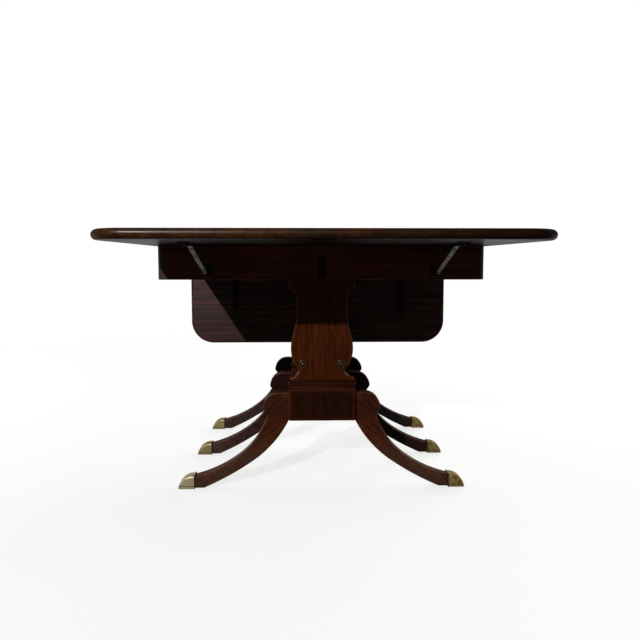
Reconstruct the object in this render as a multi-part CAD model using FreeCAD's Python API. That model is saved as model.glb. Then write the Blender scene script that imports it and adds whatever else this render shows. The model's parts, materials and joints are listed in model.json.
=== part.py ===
import FreeCAD, Part
import math
import os

# Drop-leaf extension table on three two-legged pedestals, in millimetres.
# X is the table's width, Y its depth with the near side at -Y, Z is up from the floor.
# The near leaf is raised on its stays and the far leaf hangs.

# Top and leaves
top_width = 1040.0
hinge_span = 590.0
leaf_length = 384.0
top_thickness = 24.0
leaf_corner_radius = 90.0
seam_gap = 0.4

# Rule joint between top and leaf
pin_rise = 2.0
joint_step = 5.0
joint_gap = 0.4

# Table hinges
hinge_width = 38.0
hinge_inset = 105.0
hinge_plate_thickness = 2.0
hinge_top_plate_length = 18.0
hinge_leaf_plate_length = 55.0
hinge_pin_radius = 1.6
knuckle_end_gap = 0.3
knuckle_recess_clearance = 0.8
plate_corner_clearance = 0.4
pin_clearance = 0.05

# Aprons and rails
apron_width = 960.0
apron_height = 100.0
apron_thickness = 20.0
apron_setback = 20.0
apron_corner_radius = 19.0
slot_width = 20.0
slot_height = 60.0
slot_depth = 8.0
slot_bottom_margin = 6.0
side_rail_thickness = 20.0
corner_block_leg = 42.0
corner_block_height = 80.0

# Pedestals
vase_thickness = 32.0
vase_height = 298.0
vase_foot_half_width = 96.0
vase_foot_edge = 6.0
vase_waist_half_width = 67.0
vase_waist_rise = 31.0
vase_belly_half_width = 92.0
vase_belly_rise = 94.0
vase_neck_half_width = 74.0
vase_neck_rise = 195.0
vase_lip_half_width = 97.0
vase_lip_height = 26.0
vase_cove_height = 24.0
vase_tongue_half_width = 82.0
vase_tongue_drop = 5.0
tenon_half_width = 55.0
tenon_thickness = 14.0
tenon_length = 66.0
block_width = 195.0
block_depth = 56.0
block_height = 94.0
block_clearance = 209.0
cap_height = 24.0
cap_fillet_out = 2.0
cap_band_out = 1.0
cap_quirk_in = 1.5
cap_bead_height = 8.0
cap_band_height = 11.0
cap_top_fillet = 2.0
glue_clearance = 0.1

# Rosettes on the vase faces
rosette_radius = 12.5
rosette_offset = 56.5
rosette_rise = 48.0
rosette_height = 4.0

# Sabre legs and toe caps
toe_reach = 430.0
leg_thickness = 31.0
leg_top_drop = 13.0
knee_flat = 31.0
knee_reach = 77.0
knee_height = 48.0
notch_depth = 13.0
notch_height = 18.0
shin_share_out = 0.40
shin_share_down = 0.668
shin_lean = 0.294
calf_share_out = 0.438
calf_share_down = 0.619
calf_lean = 0.5
heel_length = 28.0
heel_lift = 3.0
toe_cap_length = 50.0
toe_cap_height = 38.5
toe_cap_wall = 3.0
toe_cap_crown = 7.0
toe_cap_proud = 1.5
toe_stub_setback = 10.0
toe_stub_nose = 12.0
dovetail_depth = 18.0
dovetail_root = 12.0
dovetail_tip = 20.0
dovetail_shoulder = 9.0

# Slides of the extension
rail_inset = 166.0
rail_width = 32.0
rail_height = 48.0
rail_length = 460.0
head_block_length = 430.0
head_block_depth = 60.0
head_block_height = 46.0
head_tenon_length = 31.0
runner_width = 26.0
runner_height = 48.0
runner_overrun = 200.0
runner_relief = 1.0
tongue_height = 13.4
tongue_reach = 8.0
slide_clearance = 0.3
slip_width = 40.0
slip_length = 44.0
slip_thickness = 8.0
slip_offset = 300.0
slip_clearance = 0.3

# Leaf stays, their brackets on the apron and their catches under the leaf
stay_inset = 141.0
stay_width = 12.0
stay_thickness = 4.0
stay_pivot_rise = 22.0
stay_pivot_out = 8.0
stay_reach = 178.0
stay_eye_radius = 5.5
stay_pin_radius = 2.5
stay_tip_gap = 0.5
stay_tip_chamfer = 4.0
bracket_width = 16.0
bracket_height = 28.0
bracket_plate = 2.5
bracket_ear = 3.0
bracket_gap = 0.5
stay_pin_head = 2.0
catch_width = 26.0
catch_base = 3.0
catch_cheek = 3.0
catch_cheek_height = 5.0
catch_start = 130.0
catch_end = 233.0
catch_side_gap = 1.0
cleat_width = 60.0
cleat_top_width = 30.0
cleat_height = 12.0
cleat_thickness = 4.0

# Heights and depths that follow
block_top = block_clearance + block_height
plinth_top = block_top + cap_height
apron_bottom = plinth_top + vase_height
underside = apron_bottom + apron_height
table_height = underside + top_thickness
edge_radius = top_thickness / 2
board_middle = underside + edge_radius
pin_z = underside + pin_rise
pin_y = hinge_span / 2
ovolo_radius = top_thickness - pin_rise - joint_step
cove_radius = ovolo_radius + joint_gap
knuckle_radius = pin_rise + hinge_plate_thickness
plate_start = knuckle_radius + plate_corner_clearance
apron_face = pin_y - apron_setback
apron_back = apron_face - apron_thickness
pedestal_y = apron_face - vase_thickness / 2
half_top = top_width / 2
half_apron = apron_width / 2
half_block = block_width / 2
leg_top = block_top - leg_top_drop
slip_places = (-slip_offset, 0.0, slip_offset)
hinge_places = (-half_top + hinge_inset, 0.0, half_top - hinge_inset)
stay_offset = half_apron - stay_inset
stay_pivot_y = apron_face + stay_pivot_out
stay_pivot_z = apron_bottom + stay_pivot_rise
stay_tip_z = underside - catch_base - stay_tip_gap - stay_thickness / 2
stay_rise = stay_tip_z - stay_pivot_z
stay_length = (stay_rise ** 2 + stay_reach ** 2) ** 0.5
rail_bottom = apron_bottom + head_block_height
head_tenon_top = apron_bottom + head_tenon_length
tongue_mid = rail_bottom + rail_height / 2
cut_margin = 5.0
quarter_turn, half_turn = 90, 180

origin = FreeCAD.Vector(0, 0, 0)
x_axis = FreeCAD.Vector(1, 0, 0)
y_axis = FreeCAD.Vector(0, 1, 0)
z_axis = FreeCAD.Vector(0, 0, 1)


def at(x, y, z):
    return FreeCAD.Vector(x, y, z)


def box(x_low, x_high, y_low, y_high, z_low, z_high):
    return Part.makeBox(x_high - x_low, y_high - y_low, z_high - z_low, at(x_low, y_low, z_low))


def rod_x(radius, x_low, x_high, y, z):
    return Part.makeCylinder(radius, x_high - x_low, at(x_low, y, z), x_axis)


def rod_y(radius, y_low, y_high, x, z):
    return Part.makeCylinder(radius, y_high - y_low, at(x, y_low, z), y_axis)


def line(start, end):
    return Part.makeLine(start, end)


def arc(start, middle, end):
    return Part.Arc(start, middle, end).toShape()


def tangent_arcs(start, heading, *stops):
    edges = []
    for stop in stops:
        chord = stop - start
        across = heading - chord * (heading.dot(chord) / chord.dot(chord))
        swing = heading.getAngle(chord)
        bulge = FreeCAD.Vector(across).normalize() * (chord.Length / 2 * math.tan(swing / 2))
        edges.append(arc(start, start + chord / 2 + bulge, stop))
        heading = chord * (2 * heading.dot(chord) / chord.dot(chord)) - heading
        start = stop
    return edges


def polygon(points, direction):
    wire = Part.makePolygon(points + points[:1])
    return Part.Face(wire).extrude(direction)


def slab_y(edges, y_middle, thickness):
    face = Part.Face(Part.Wire(Part.__sortEdges__(edges)))
    face.translate(at(0, y_middle - thickness / 2, 0))
    return face.extrude(at(0, thickness, 0))


def mirrored_x(shape):
    return shape.mirror(origin, x_axis)


def turned_to_far(shape):
    far = shape.copy()
    far.rotate(origin, z_axis, half_turn)
    return far


def export(name, *solids):
    shape = solids[0] if len(solids) == 1 else Part.makeCompound(list(solids))
    shape.exportStep("parts/" + name + ".step")


# Top and leaves
def side_noses(y_low, y_high):
    x = half_top - edge_radius
    return [rod_y(edge_radius, y_low, y_high, side, board_middle) for side in (-x, x)]


def corner_nose(y):
    nose = Part.makeTorus(leaf_corner_radius - edge_radius, edge_radius, origin, z_axis,
                          -half_turn, half_turn, quarter_turn)
    nose.rotate(origin, z_axis, -quarter_turn)
    nose.translate(at(half_top - leaf_corner_radius, y, board_middle))
    return nose


def hinge_recesses():
    half = hinge_width / 2 + knuckle_recess_clearance
    round_pin = knuckle_radius + knuckle_recess_clearance
    low = underside - cut_margin
    cuts = []
    for x in hinge_places:
        cuts.append(box(x - half, x + half, -pin_y - round_pin, -pin_y + round_pin, low, pin_z + round_pin))
        cuts.append(box(x - half, x + half, -pin_y - ovolo_radius - cut_margin, -pin_y,
                        low, underside + plate_corner_clearance))
    return cuts


def slip(x, clearance):
    half, depth = slip_width / 2 + clearance, slip_length / 2 + clearance
    rise = slip_thickness / 2 + clearance
    return box(x - half, x + half, -depth, depth, board_middle - rise, board_middle + rise)


def near_top_board(slip_room):
    front, back = -pin_y - ovolo_radius, -seam_gap / 2
    inner = half_top - edge_radius
    board = box(-inner, inner, front, back, underside, table_height).multiFuse(side_noses(front, back))
    outside = box(-half_top - cut_margin, half_top + cut_margin, front - cut_margin, -pin_y,
                  underside - cut_margin, table_height + cut_margin)
    ovolo = rod_x(ovolo_radius, -half_top - cut_margin, half_top + cut_margin, -pin_y, pin_z)
    cuts = [outside.cut(ovolo)] + hinge_recesses() + [slip(x, slip_room) for x in slip_places]
    return board.cut(cuts).removeSplitter()


def leaf_board():
    back, front = -pin_y - joint_gap, -pin_y - leaf_length
    turn_x, turn_y = half_top - leaf_corner_radius, front + leaf_corner_radius
    inner_x, inner_y = half_top - edge_radius, front + edge_radius
    corner = tangent_arcs(at(inner_x, turn_y, underside), -y_axis, at(turn_x, inner_y, underside))
    edges = [
        line(at(-inner_x, back, underside), at(inner_x, back, underside)),
        line(at(inner_x, back, underside), at(inner_x, turn_y, underside)),
        *corner,
        line(at(turn_x, inner_y, underside), at(-turn_x, inner_y, underside)),
        *[mirrored_x(edge) for edge in corner],
        line(at(-inner_x, turn_y, underside), at(-inner_x, back, underside)),
    ]
    board = Part.Face(Part.Wire(Part.__sortEdges__(edges))).extrude(at(0, 0, top_thickness))
    front_nose = rod_x(edge_radius, -turn_x, turn_x, inner_y, board_middle)
    corners = [corner_nose(turn_y), mirrored_x(corner_nose(turn_y))]
    board = board.multiFuse(side_noses(turn_y, back) + [front_nose] + corners)
    reach = half_top + cut_margin
    cove = rod_x(cove_radius, -reach, reach, -pin_y, pin_z)
    below = box(-reach, reach, -pin_y - cove_radius, -pin_y + cut_margin, underside - cut_margin, pin_z)
    return board.cut(cove.fuse(below)).removeSplitter()


# Hinges
def hinge_plate(x_low, x_high, y_side, length, knuckle_low, knuckle_high):
    low = underside - hinge_plate_thickness
    near, far = -pin_y + y_side * plate_start, -pin_y + y_side * length
    plate = box(x_low, x_high, min(near, far), max(near, far), low, underside)
    web_end = near + y_side * cut_margin
    web = box(knuckle_low, knuckle_high, min(-pin_y, web_end), max(-pin_y, web_end), low, underside)
    knuckle = rod_x(knuckle_radius, knuckle_low, knuckle_high, -pin_y, pin_z)
    return plate.multiFuse([web, knuckle]).removeSplitter()


def hinge_top_plate(x):
    half, inner = hinge_width / 2, knuckle_end_gap / 2
    return hinge_plate(x - half, x + half, 1, hinge_top_plate_length, x - half, x - inner)


def hinge_leaf_plate(x):
    half, inner = hinge_width / 2, knuckle_end_gap / 2
    plate = hinge_plate(x - half, x + half, -1, hinge_leaf_plate_length, x + inner, x + half)
    return plate.cut(rod_x(hinge_pin_radius + pin_clearance, x, x + hinge_width, -pin_y, pin_z))


def hinge_pin(x):
    return rod_x(hinge_pin_radius, x - knuckle_end_gap / 2, x + hinge_width / 2, -pin_y, pin_z)


# Stays
def stay_catch(x):
    front = -pin_y - catch_end
    back = -pin_y - catch_start
    half = catch_width / 2
    inner = stay_width / 2 + catch_side_gap
    low = underside - catch_base
    catch = box(x - half, x + half, front, back, low, underside)
    for x_low in (x - inner - catch_cheek, x + inner):
        cheek = box(x_low, x_low + catch_cheek, front, back, low - catch_cheek_height, low)
        catch = catch.fuse(cheek)
    return catch.removeSplitter()


def stay():
    half = stay_width / 2
    thick = stay_thickness / 2
    shoulder, tip = stay_length - stay_tip_chamfer, half - stay_tip_chamfer
    points = [at(-half, 0, -thick), at(-half, shoulder, -thick), at(-tip, stay_length, -thick),
              at(tip, stay_length, -thick), at(half, shoulder, -thick), at(half, 0, -thick)]
    strap = polygon(points, at(0, 0, stay_thickness))
    strap = strap.fuse(rod_x(stay_eye_radius, -half, half, 0, 0))
    strap = strap.cut(rod_x(stay_pin_radius + pin_clearance, -half - cut_margin, half + cut_margin, 0, 0))
    strap = strap.removeSplitter()
    strap.rotate(origin, z_axis, half_turn)
    return strap


def placed_stay(x, direction_y, direction_z):
    strap = stay()
    strap.Placement = FreeCAD.Placement(
        at(x, -stay_pivot_y, stay_pivot_z),
        FreeCAD.Rotation(at(0, -1, 0), at(0, direction_y, direction_z)),
    ).multiply(strap.Placement)
    return strap


def raised_stay(x):
    return placed_stay(x, -stay_reach, stay_rise)


def hanging_stay(x):
    return placed_stay(x, 0, -1)


def bracket_sides(x):
    side = 1 if x < 0 else -1
    inner = x + side * (stay_width / 2 + bracket_gap)
    return side, inner


def stay_bracket(x):
    side, inner = bracket_sides(x)
    outer = inner + side * bracket_width
    base_low = stay_pivot_z - stay_eye_radius
    base = box(min(inner, outer), max(inner, outer), -apron_face - bracket_plate, -apron_face,
               base_low, base_low + bracket_height)
    ear_end = inner + side * bracket_ear
    low, high = min(inner, ear_end), max(inner, ear_end)
    ear = box(low, high, -stay_pivot_y - stay_eye_radius, -apron_face,
              base_low, stay_pivot_z + stay_eye_radius)
    return base.fuse(ear).removeSplitter()


def stay_pin(x):
    side, inner = bracket_sides(x)
    outside = x - side * (stay_width / 2 + stay_pin_head)
    return rod_x(stay_pin_radius, min(inner, outside), max(inner, outside), -stay_pivot_y, stay_pivot_z)


def cleat(x):
    half, top_half = cleat_width / 2, cleat_top_width / 2
    top = apron_bottom + cleat_height
    points = [at(x - half, -apron_face, apron_bottom), at(x + half, -apron_face, apron_bottom),
              at(x + top_half, -apron_face, top), at(x - top_half, -apron_face, top)]
    return polygon(points, at(0, -cleat_thickness, 0))


# Apron and rails
def apron():
    board = box(-half_apron, half_apron, -apron_face, -apron_back, apron_bottom, underside)
    ends = [edge for edge in board.Edges
            if abs(edge.CenterOfMass.y + apron_face) < joint_gap
            and abs(abs(edge.CenterOfMass.x) - half_apron) < joint_gap]
    board = board.makeFillet(min(apron_corner_radius, apron_thickness - joint_gap), ends)
    slot_low = apron_bottom + slot_bottom_margin
    slot = box(-slot_width / 2, slot_width / 2, -apron_face - cut_margin, -apron_face + slot_depth,
               slot_low, slot_low + slot_height)
    return board.cut(slot)


def side_rail():
    return box(half_apron - side_rail_thickness, half_apron, -apron_back, -seam_gap / 2,
               apron_bottom, underside)


def corner_block():
    x = half_apron - side_rail_thickness
    low = apron_bottom + (apron_height - corner_block_height) / 2
    points = [at(x, -apron_back, low), at(x - corner_block_leg, -apron_back, low),
              at(x, -apron_back + corner_block_leg, low)]
    return polygon(points, at(0, 0, corner_block_height))


# Pedestals, each modelled about its own middle plane
def vase_outline():
    foot, lip = vase_foot_half_width, vase_lip_half_width
    waist, belly, neck = vase_waist_half_width, vase_belly_half_width, vase_neck_half_width
    waist_z = plinth_top + vase_waist_rise
    belly_z = plinth_top + vase_belly_rise
    neck_z = plinth_top + vase_neck_rise
    lip_z = apron_bottom - vase_lip_height
    foot_edge = at(foot, 0, plinth_top + vase_foot_edge)
    waist_point, belly_point = at(waist, 0, waist_z), at(belly, 0, belly_z)
    turn = at((belly + neck) / 2, 0, (belly_z + neck_z) / 2)
    cove = at(neck, 0, lip_z - vase_cove_height)
    right = [line(at(foot, 0, plinth_top), foot_edge), line(at(neck, 0, neck_z), cove)]
    right += tangent_arcs(foot_edge, -x_axis, waist_point)
    right += tangent_arcs(belly_point, -z_axis, waist_point)
    right += tangent_arcs(belly_point, z_axis, turn, at(neck, 0, neck_z))
    right += tangent_arcs(cove, z_axis, at(lip, 0, lip_z))
    right += [line(at(lip, 0, lip_z), at(lip, 0, apron_bottom))]
    left = [mirrored_x(edge) for edge in right]
    across = [line(at(-foot, 0, plinth_top), at(foot, 0, plinth_top)),
              line(at(-lip, 0, apron_bottom), at(lip, 0, apron_bottom))]
    return right + left + across


def vase_body():
    board = slab_y(vase_outline(), 0, vase_thickness)
    tenon = box(-tenon_half_width, tenon_half_width, -tenon_thickness / 2, tenon_thickness / 2,
                plinth_top - tenon_length, plinth_top)
    return board.fuse(tenon)


def outer_vase():
    front = apron_thickness - vase_thickness / 2
    tongue = box(-vase_tongue_half_width, vase_tongue_half_width, front, vase_thickness / 2,
                 apron_bottom, underside - vase_tongue_drop)
    vase = vase_body().fuse(tongue).removeSplitter()
    return moved(vase, -pedestal_y)


def centre_vase():
    head_tenon = box(-tenon_half_width, tenon_half_width, -tenon_thickness / 2, tenon_thickness / 2,
                     apron_bottom, head_tenon_top)
    return vase_body().fuse(head_tenon).removeSplitter()


def mortise(z_low, z_high):
    half = tenon_half_width + glue_clearance
    depth = tenon_thickness / 2 + glue_clearance
    return box(-half, half, -depth, depth, z_low, z_high)


def dovetail(clearance, z_low, z_high):
    inside = half_block - dovetail_depth - clearance
    root = dovetail_root / 2 + clearance
    tip = dovetail_tip / 2 + clearance
    points = [at(inside, -tip, z_low), at(half_block, -root, z_low),
              at(half_block, root, z_low), at(inside, tip, z_low)]
    return polygon(points, at(0, 0, z_high - z_low))


def plinth_block():
    block = box(-half_block, half_block, -block_depth / 2, block_depth / 2, block_clearance, block_top)
    block = block.cut(mortise(plinth_top - tenon_length - glue_clearance, block_top + cut_margin))
    socket_top = leg_top - dovetail_shoulder + glue_clearance
    socket = dovetail(glue_clearance, block_clearance - cut_margin, socket_top)
    return block.cut(socket).cut(mirrored_x(socket))


def cap_profile(half):
    band_z = block_top + cap_band_height
    bead_z = band_z + cap_bead_height
    fillet_z = plinth_top - cap_top_fillet
    band, quirk, fillet = half + cap_band_out, half - cap_quirk_in, half + cap_fillet_out
    return [
        line(at(band, 0, block_top), at(band, 0, band_z)),
        line(at(band, 0, band_z), at(quirk, 0, band_z)),
        arc(at(quirk, 0, band_z), at(fillet, 0, (band_z + bead_z) / 2), at(quirk, 0, bead_z)),
        *tangent_arcs(at(quirk, 0, bead_z), z_axis, at(fillet, 0, fillet_z)),
        line(at(fillet, 0, fillet_z), at(fillet, 0, plinth_top)),
    ]


def moulded_slab(half, depth):
    right = cap_profile(half)
    left = [mirrored_x(edge) for edge in right]
    band, fillet = half + cap_band_out, half + cap_fillet_out
    across = [line(at(-band, 0, block_top), at(band, 0, block_top)),
              line(at(-fillet, 0, plinth_top), at(fillet, 0, plinth_top))]
    return slab_y(right + left + across, 0, depth)


def plinth_cap():
    along = moulded_slab(half_block, 2 * block_depth)
    across = moulded_slab(block_depth / 2, 2 * block_width)
    across.rotate(origin, z_axis, quarter_turn)
    cap = along.common(across)
    return cap.cut(mortise(block_top - cut_margin, plinth_top + cut_margin))


def toe_stub(clearance):
    back = toe_reach - toe_cap_length - clearance
    low = toe_cap_wall - clearance
    high = toe_cap_height - toe_cap_wall + clearance
    tip = toe_reach - toe_cap_wall - toe_stub_setback + clearance
    half = leg_thickness / 2 - toe_cap_wall + toe_cap_proud + clearance
    points = [at(back, -half, low), at(tip, -half, low), at(tip, -half, toe_stub_nose + clearance),
              at((back + tip) / 2, -half, high - toe_cap_wall), at(back, -half, high - toe_cap_wall)]
    return polygon(points, at(0, 2 * half, 0))


def leg():
    cap_back = toe_reach - toe_cap_length
    knee = at(half_block + knee_reach, 0, leg_top - knee_height)
    notch = at(knee.x - notch_depth, 0, knee.z - notch_height)
    ankle = at(cap_back, 0, toe_cap_height - toe_cap_wall)
    heel = at(cap_back - heel_length, 0, heel_lift)
    flat_end = at(half_block + knee_flat, 0, leg_top)
    root = at(half_block, 0, block_clearance)
    shin = notch + at(shin_share_out * (ankle.x - notch.x), 0, shin_share_down * (ankle.z - notch.z))
    calf = root + at(calf_share_out * (heel.x - root.x), 0, calf_share_down * (heel.z - root.z))
    edges = [line(root, at(half_block, 0, leg_top)), line(at(half_block, 0, leg_top), flat_end)]
    edges += tangent_arcs(flat_end, x_axis, knee)
    edges += [line(knee, notch)]
    edges += tangent_arcs(notch, at(shin_lean, 0, -1), shin, ankle)
    edges += [line(ankle, at(cap_back, 0, heel_lift)), line(at(cap_back, 0, heel_lift), heel)]
    edges += tangent_arcs(root, at(calf_lean, 0, -1), calf, heel)
    body = slab_y(edges, 0, leg_thickness)
    tongue = dovetail(0, block_clearance, leg_top - dovetail_shoulder)
    return body.fuse(toe_stub(0)).fuse(tongue).removeSplitter()


def toe_cap():
    back = toe_reach - toe_cap_length
    crown = at(back + toe_cap_crown, 0, toe_cap_height)
    tip = at(toe_reach, 0, 0)
    edges = [line(tip, at(back, 0, 0)), line(at(back, 0, 0), at(back, 0, toe_cap_height)),
             line(at(back, 0, toe_cap_height), crown)]
    edges += tangent_arcs(crown, x_axis, tip)
    shell = slab_y(edges, 0, leg_thickness + 2 * toe_cap_proud)
    return shell.cut(toe_stub(glue_clearance))


def rosette(x):
    return rod_y(rosette_radius, -apron_face - rosette_height, -apron_face, x, plinth_top + rosette_rise)


def moved(shape, y):
    copy = shape.copy()
    copy.translate(at(0, y, 0))
    return copy


# Slides
def slide_rail():
    low, high = rail_inset - rail_width / 2, rail_inset + rail_width / 2
    rail = box(low, high, -rail_length / 2, rail_length / 2, rail_bottom, rail_bottom + rail_height)
    groove_half = tongue_height / 2 + slide_clearance
    reach = tongue_reach + slide_clearance
    for x_low, x_high in ((low - cut_margin, low + reach), (high - reach, high + cut_margin)):
        groove = box(x_low, x_high, -rail_length, rail_length,
                     tongue_mid - groove_half, tongue_mid + groove_half)
        rail = rail.cut(groove)
    return rail


def runner(outside):
    side = 1 if outside else -1
    face = rail_inset + side * (rail_width / 2 + slide_clearance)
    outer = face + side * runner_width
    low, high = min(face, outer), max(face, outer)
    bar = box(low, high, -apron_back, runner_overrun, underside - runner_height, underside)
    bar = bar.cut(box(low - cut_margin, high + cut_margin, -seam_gap, runner_overrun + cut_margin,
                      underside - runner_relief, underside + cut_margin))
    tip = face - side * tongue_reach
    tongue = box(min(face, tip), max(face, tip), -apron_back, runner_overrun,
                 tongue_mid - tongue_height / 2, tongue_mid + tongue_height / 2)
    return bar.fuse(tongue).removeSplitter()


def head_block():
    half = head_block_length / 2
    block = box(-half, half, -head_block_depth / 2, head_block_depth / 2, apron_bottom, rail_bottom)
    return block.cut(mortise(apron_bottom - cut_margin, head_tenon_top + glue_clearance))


# Raised near leaf and hanging far leaf
def hung_on_far(shape):
    hung = shape.copy()
    hung.rotate(at(0, -pin_y, pin_z), x_axis, quarter_turn)
    return turned_to_far(hung)


def keep(shape):
    return shape.copy()


os.makedirs("parts", exist_ok=True)

stay_places = (-stay_offset, stay_offset)
leg_right = leg()
leg_left = mirrored_x(leg_right)
caps = [toe_cap(), mirrored_x(toe_cap())]
block = plinth_block()
cap = plinth_cap()
rail_right = side_rail()
corner_right = corner_block()

for side, placed, pedestal, outside, slip_room in (
    ("near", keep, -pedestal_y, True, 0),
    ("far", turned_to_far, pedestal_y, False, slip_clearance),
):
    export(side + "_top", placed(near_top_board(slip_room)))
    export(side + "_apron", placed(apron()))
    export(side + "_side_rails", placed(rail_right), placed(mirrored_x(rail_right)))
    export(side + "_corner_blocks", placed(corner_right), placed(mirrored_x(corner_right)))
    export(side + "_vase", placed(outer_vase()))
    export(side + "_plinth_block", moved(block, pedestal))
    export(side + "_plinth_cap", moved(cap, pedestal))
    export(side + "_leg_left", moved(leg_left, pedestal))
    export(side + "_leg_right", moved(leg_right, pedestal))
    export(side + "_toe_caps", *[moved(toe, pedestal) for toe in caps])
    export(side + "_rosettes", placed(rosette(-rosette_offset)), placed(rosette(rosette_offset)))
    export(side + "_runners", placed(runner(outside)), placed(mirrored_x(runner(outside))))
    export(side + "_hinge_plates", *[placed(hinge_top_plate(x)) for x in hinge_places])
    export(side + "_hinge_pins", *[placed(hinge_pin(x)) for x in hinge_places])
    export(side + "_stay_brackets", *[placed(stay_bracket(x)) for x in stay_places])
    export(side + "_stay_pins", *[placed(stay_pin(x)) for x in stay_places])
    export(side + "_cleats", *[placed(cleat(x)) for x in stay_places])

for side, placed in (("near", keep), ("far", hung_on_far)):
    export(side + "_leaf", placed(leaf_board()))
    export(side + "_leaf_hinge_plates", *[placed(hinge_leaf_plate(x)) for x in hinge_places])
    export(side + "_stay_catches", *[placed(stay_catch(x)) for x in stay_places])

export("near_stay_left", raised_stay(-stay_offset))
export("near_stay_right", raised_stay(stay_offset))
export("far_stay_left", turned_to_far(hanging_stay(stay_offset)))
export("far_stay_right", turned_to_far(hanging_stay(-stay_offset)))

export("centre_vase", centre_vase())
export("centre_plinth_block", block)
export("centre_plinth_cap", cap)
export("centre_leg_left", leg_left)
export("centre_leg_right", leg_right)
export("centre_toe_caps", *caps)
export("centre_head_block", head_block())
export("centre_slide_rail_left", mirrored_x(slide_rail()))
export("centre_slide_rail_right", slide_rail())
export("seam_slips", *[slip(x, 0) for x in slip_places])
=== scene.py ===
import json
import math

import bpy
from mathutils import Matrix, Vector


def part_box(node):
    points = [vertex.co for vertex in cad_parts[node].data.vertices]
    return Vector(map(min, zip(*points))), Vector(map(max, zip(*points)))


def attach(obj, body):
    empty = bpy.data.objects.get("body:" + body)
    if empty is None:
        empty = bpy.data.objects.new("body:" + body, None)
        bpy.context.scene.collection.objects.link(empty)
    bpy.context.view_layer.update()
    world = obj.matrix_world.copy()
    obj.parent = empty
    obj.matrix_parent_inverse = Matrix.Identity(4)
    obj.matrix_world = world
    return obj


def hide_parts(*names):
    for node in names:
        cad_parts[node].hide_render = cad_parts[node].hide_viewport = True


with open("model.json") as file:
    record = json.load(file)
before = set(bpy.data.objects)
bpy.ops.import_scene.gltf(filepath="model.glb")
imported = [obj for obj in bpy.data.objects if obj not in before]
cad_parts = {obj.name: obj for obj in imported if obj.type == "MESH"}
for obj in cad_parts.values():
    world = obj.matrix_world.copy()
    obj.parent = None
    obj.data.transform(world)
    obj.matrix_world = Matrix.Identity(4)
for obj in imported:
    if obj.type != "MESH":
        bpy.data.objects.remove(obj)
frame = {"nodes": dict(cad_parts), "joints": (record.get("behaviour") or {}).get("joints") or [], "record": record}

nodes = frame["nodes"]
joints = {row["name"]: row for row in frame["joints"]}
riders = frame["record"]["behaviour"]["bodies"]
bodyOf = {node: body for body, members in riders.items() for node in members}
slotOf = {row["node"]: row["material_slot"] for row in frame["record"]["subparts"]}
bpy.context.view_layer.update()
mm = 0.001
ends = {"near": -1, "far": 1}        # which way each half faces along Y

# Small tools used by every piece; lengths are in mm and angles in degrees
meshLook = {"merge": 0.01, "flat": 0.5, "arris": 32, "smooth": 38, "turned": 40,
            "woodSteps": 3, "metalSteps": 2}


def toLinear(code):
    parts = [int(code[i:i + 2], 16) / 255 for i in (1, 3, 5)]
    return [c / 12.92 if c <= 0.04045 else ((c + 0.055) / 1.055) ** 2.4 for c in parts] + [1.0]


def boxOf(node):
    # lowest and highest corner of a node at rest, in mm
    return [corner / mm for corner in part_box(node)]


def addNode(tree, kind, settings=None, inputs=None, links=None, stops=()):
    # stops are the places and colours of a ramp
    node = tree.nodes.new(kind)
    for name, value in (settings or {}).items():
        setattr(node, name, value)
    for name, value in (inputs or {}).items():
        node.inputs[name].default_value = value
    for name, socket in (links or {}).items():
        tree.links.new(socket, node.inputs[name])
    for _ in stops[2:]:
        node.color_ramp.elements.new(0.5)
    for index, (position, code) in enumerate(stops):
        node.color_ramp.elements[index].position = position
        node.color_ramp.elements[index].color = toLinear(code)
    return node


def pickOnly(piece):
    if bpy.context.object and bpy.context.object.mode != "OBJECT":
        bpy.ops.object.mode_set(mode="OBJECT")
    bpy.ops.object.select_all(action="DESELECT")
    piece.select_set(True)
    bpy.context.view_layer.objects.active = piece


def editAll():
    bpy.ops.object.mode_set(mode="EDIT")
    bpy.ops.mesh.select_all(action="SELECT")


def editNone(kind):
    # nothing is selected any more, and faces or edges can be marked one by one
    bpy.ops.object.mode_set(mode="EDIT")
    bpy.ops.mesh.select_mode(type=kind)
    bpy.ops.mesh.select_all(action="DESELECT")
    bpy.ops.object.mode_set(mode="OBJECT")


def finishFaces(piece, material, test, borders=()):
    # one more finish on the faces that the test picks, inside borders of the given widths
    piece.data.materials.append(material)
    editNone("FACE")
    for face in piece.data.polygons:
        face.select = test(face)
    bpy.ops.object.mode_set(mode="EDIT")
    for border in borders:
        bpy.ops.mesh.inset(thickness=border * mm, depth=0)
    piece.active_material_index = len(piece.data.materials) - 1
    bpy.ops.object.material_slot_assign()
    bpy.ops.object.mode_set(mode="OBJECT")


def roundEdges(piece, test, width, steps, material=-1):
    # a round on the edges that the test picks from their two ends
    editNone("EDGE")
    points = piece.data.vertices
    for edge in piece.data.edges:
        edge.select = test(*[points[i].co for i in edge.vertices])
    bpy.ops.object.mode_set(mode="EDIT")
    bpy.ops.mesh.bevel(offset=width * mm, segments=steps, affect="EDGES", clamp_overlap=False,
                       loop_slide=False, material=material)
    bpy.ops.object.mode_set(mode="OBJECT")


def copyOf(nodeName, pieceName, cuts=()):
    piece = bpy.data.objects.new(pieceName, nodes[nodeName].data.copy())
    bpy.context.scene.collection.objects.link(piece)
    piece.data.materials.clear()
    pickOnly(piece)
    bpy.ops.mesh.customdata_custom_splitnormals_clear()
    editAll()
    bpy.ops.mesh.remove_doubles(threshold=meshLook["merge"] * mm)
    for axis, position in cuts:        # a face with a hole through it is kept as two plain halves
        normal = Vector((axis == "x", axis == "y", axis == "z"))
        bpy.ops.mesh.bisect(plane_co=normal * position * mm, plane_no=normal)
        bpy.ops.mesh.mark_seam(clear=False)
        bpy.ops.mesh.select_all(action="SELECT")
    bpy.ops.mesh.dissolve_limited(angle_limit=math.radians(meshLook["flat"]), delimit={"SEAM"})
    bpy.ops.object.mode_set(mode="OBJECT")
    return piece


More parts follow.
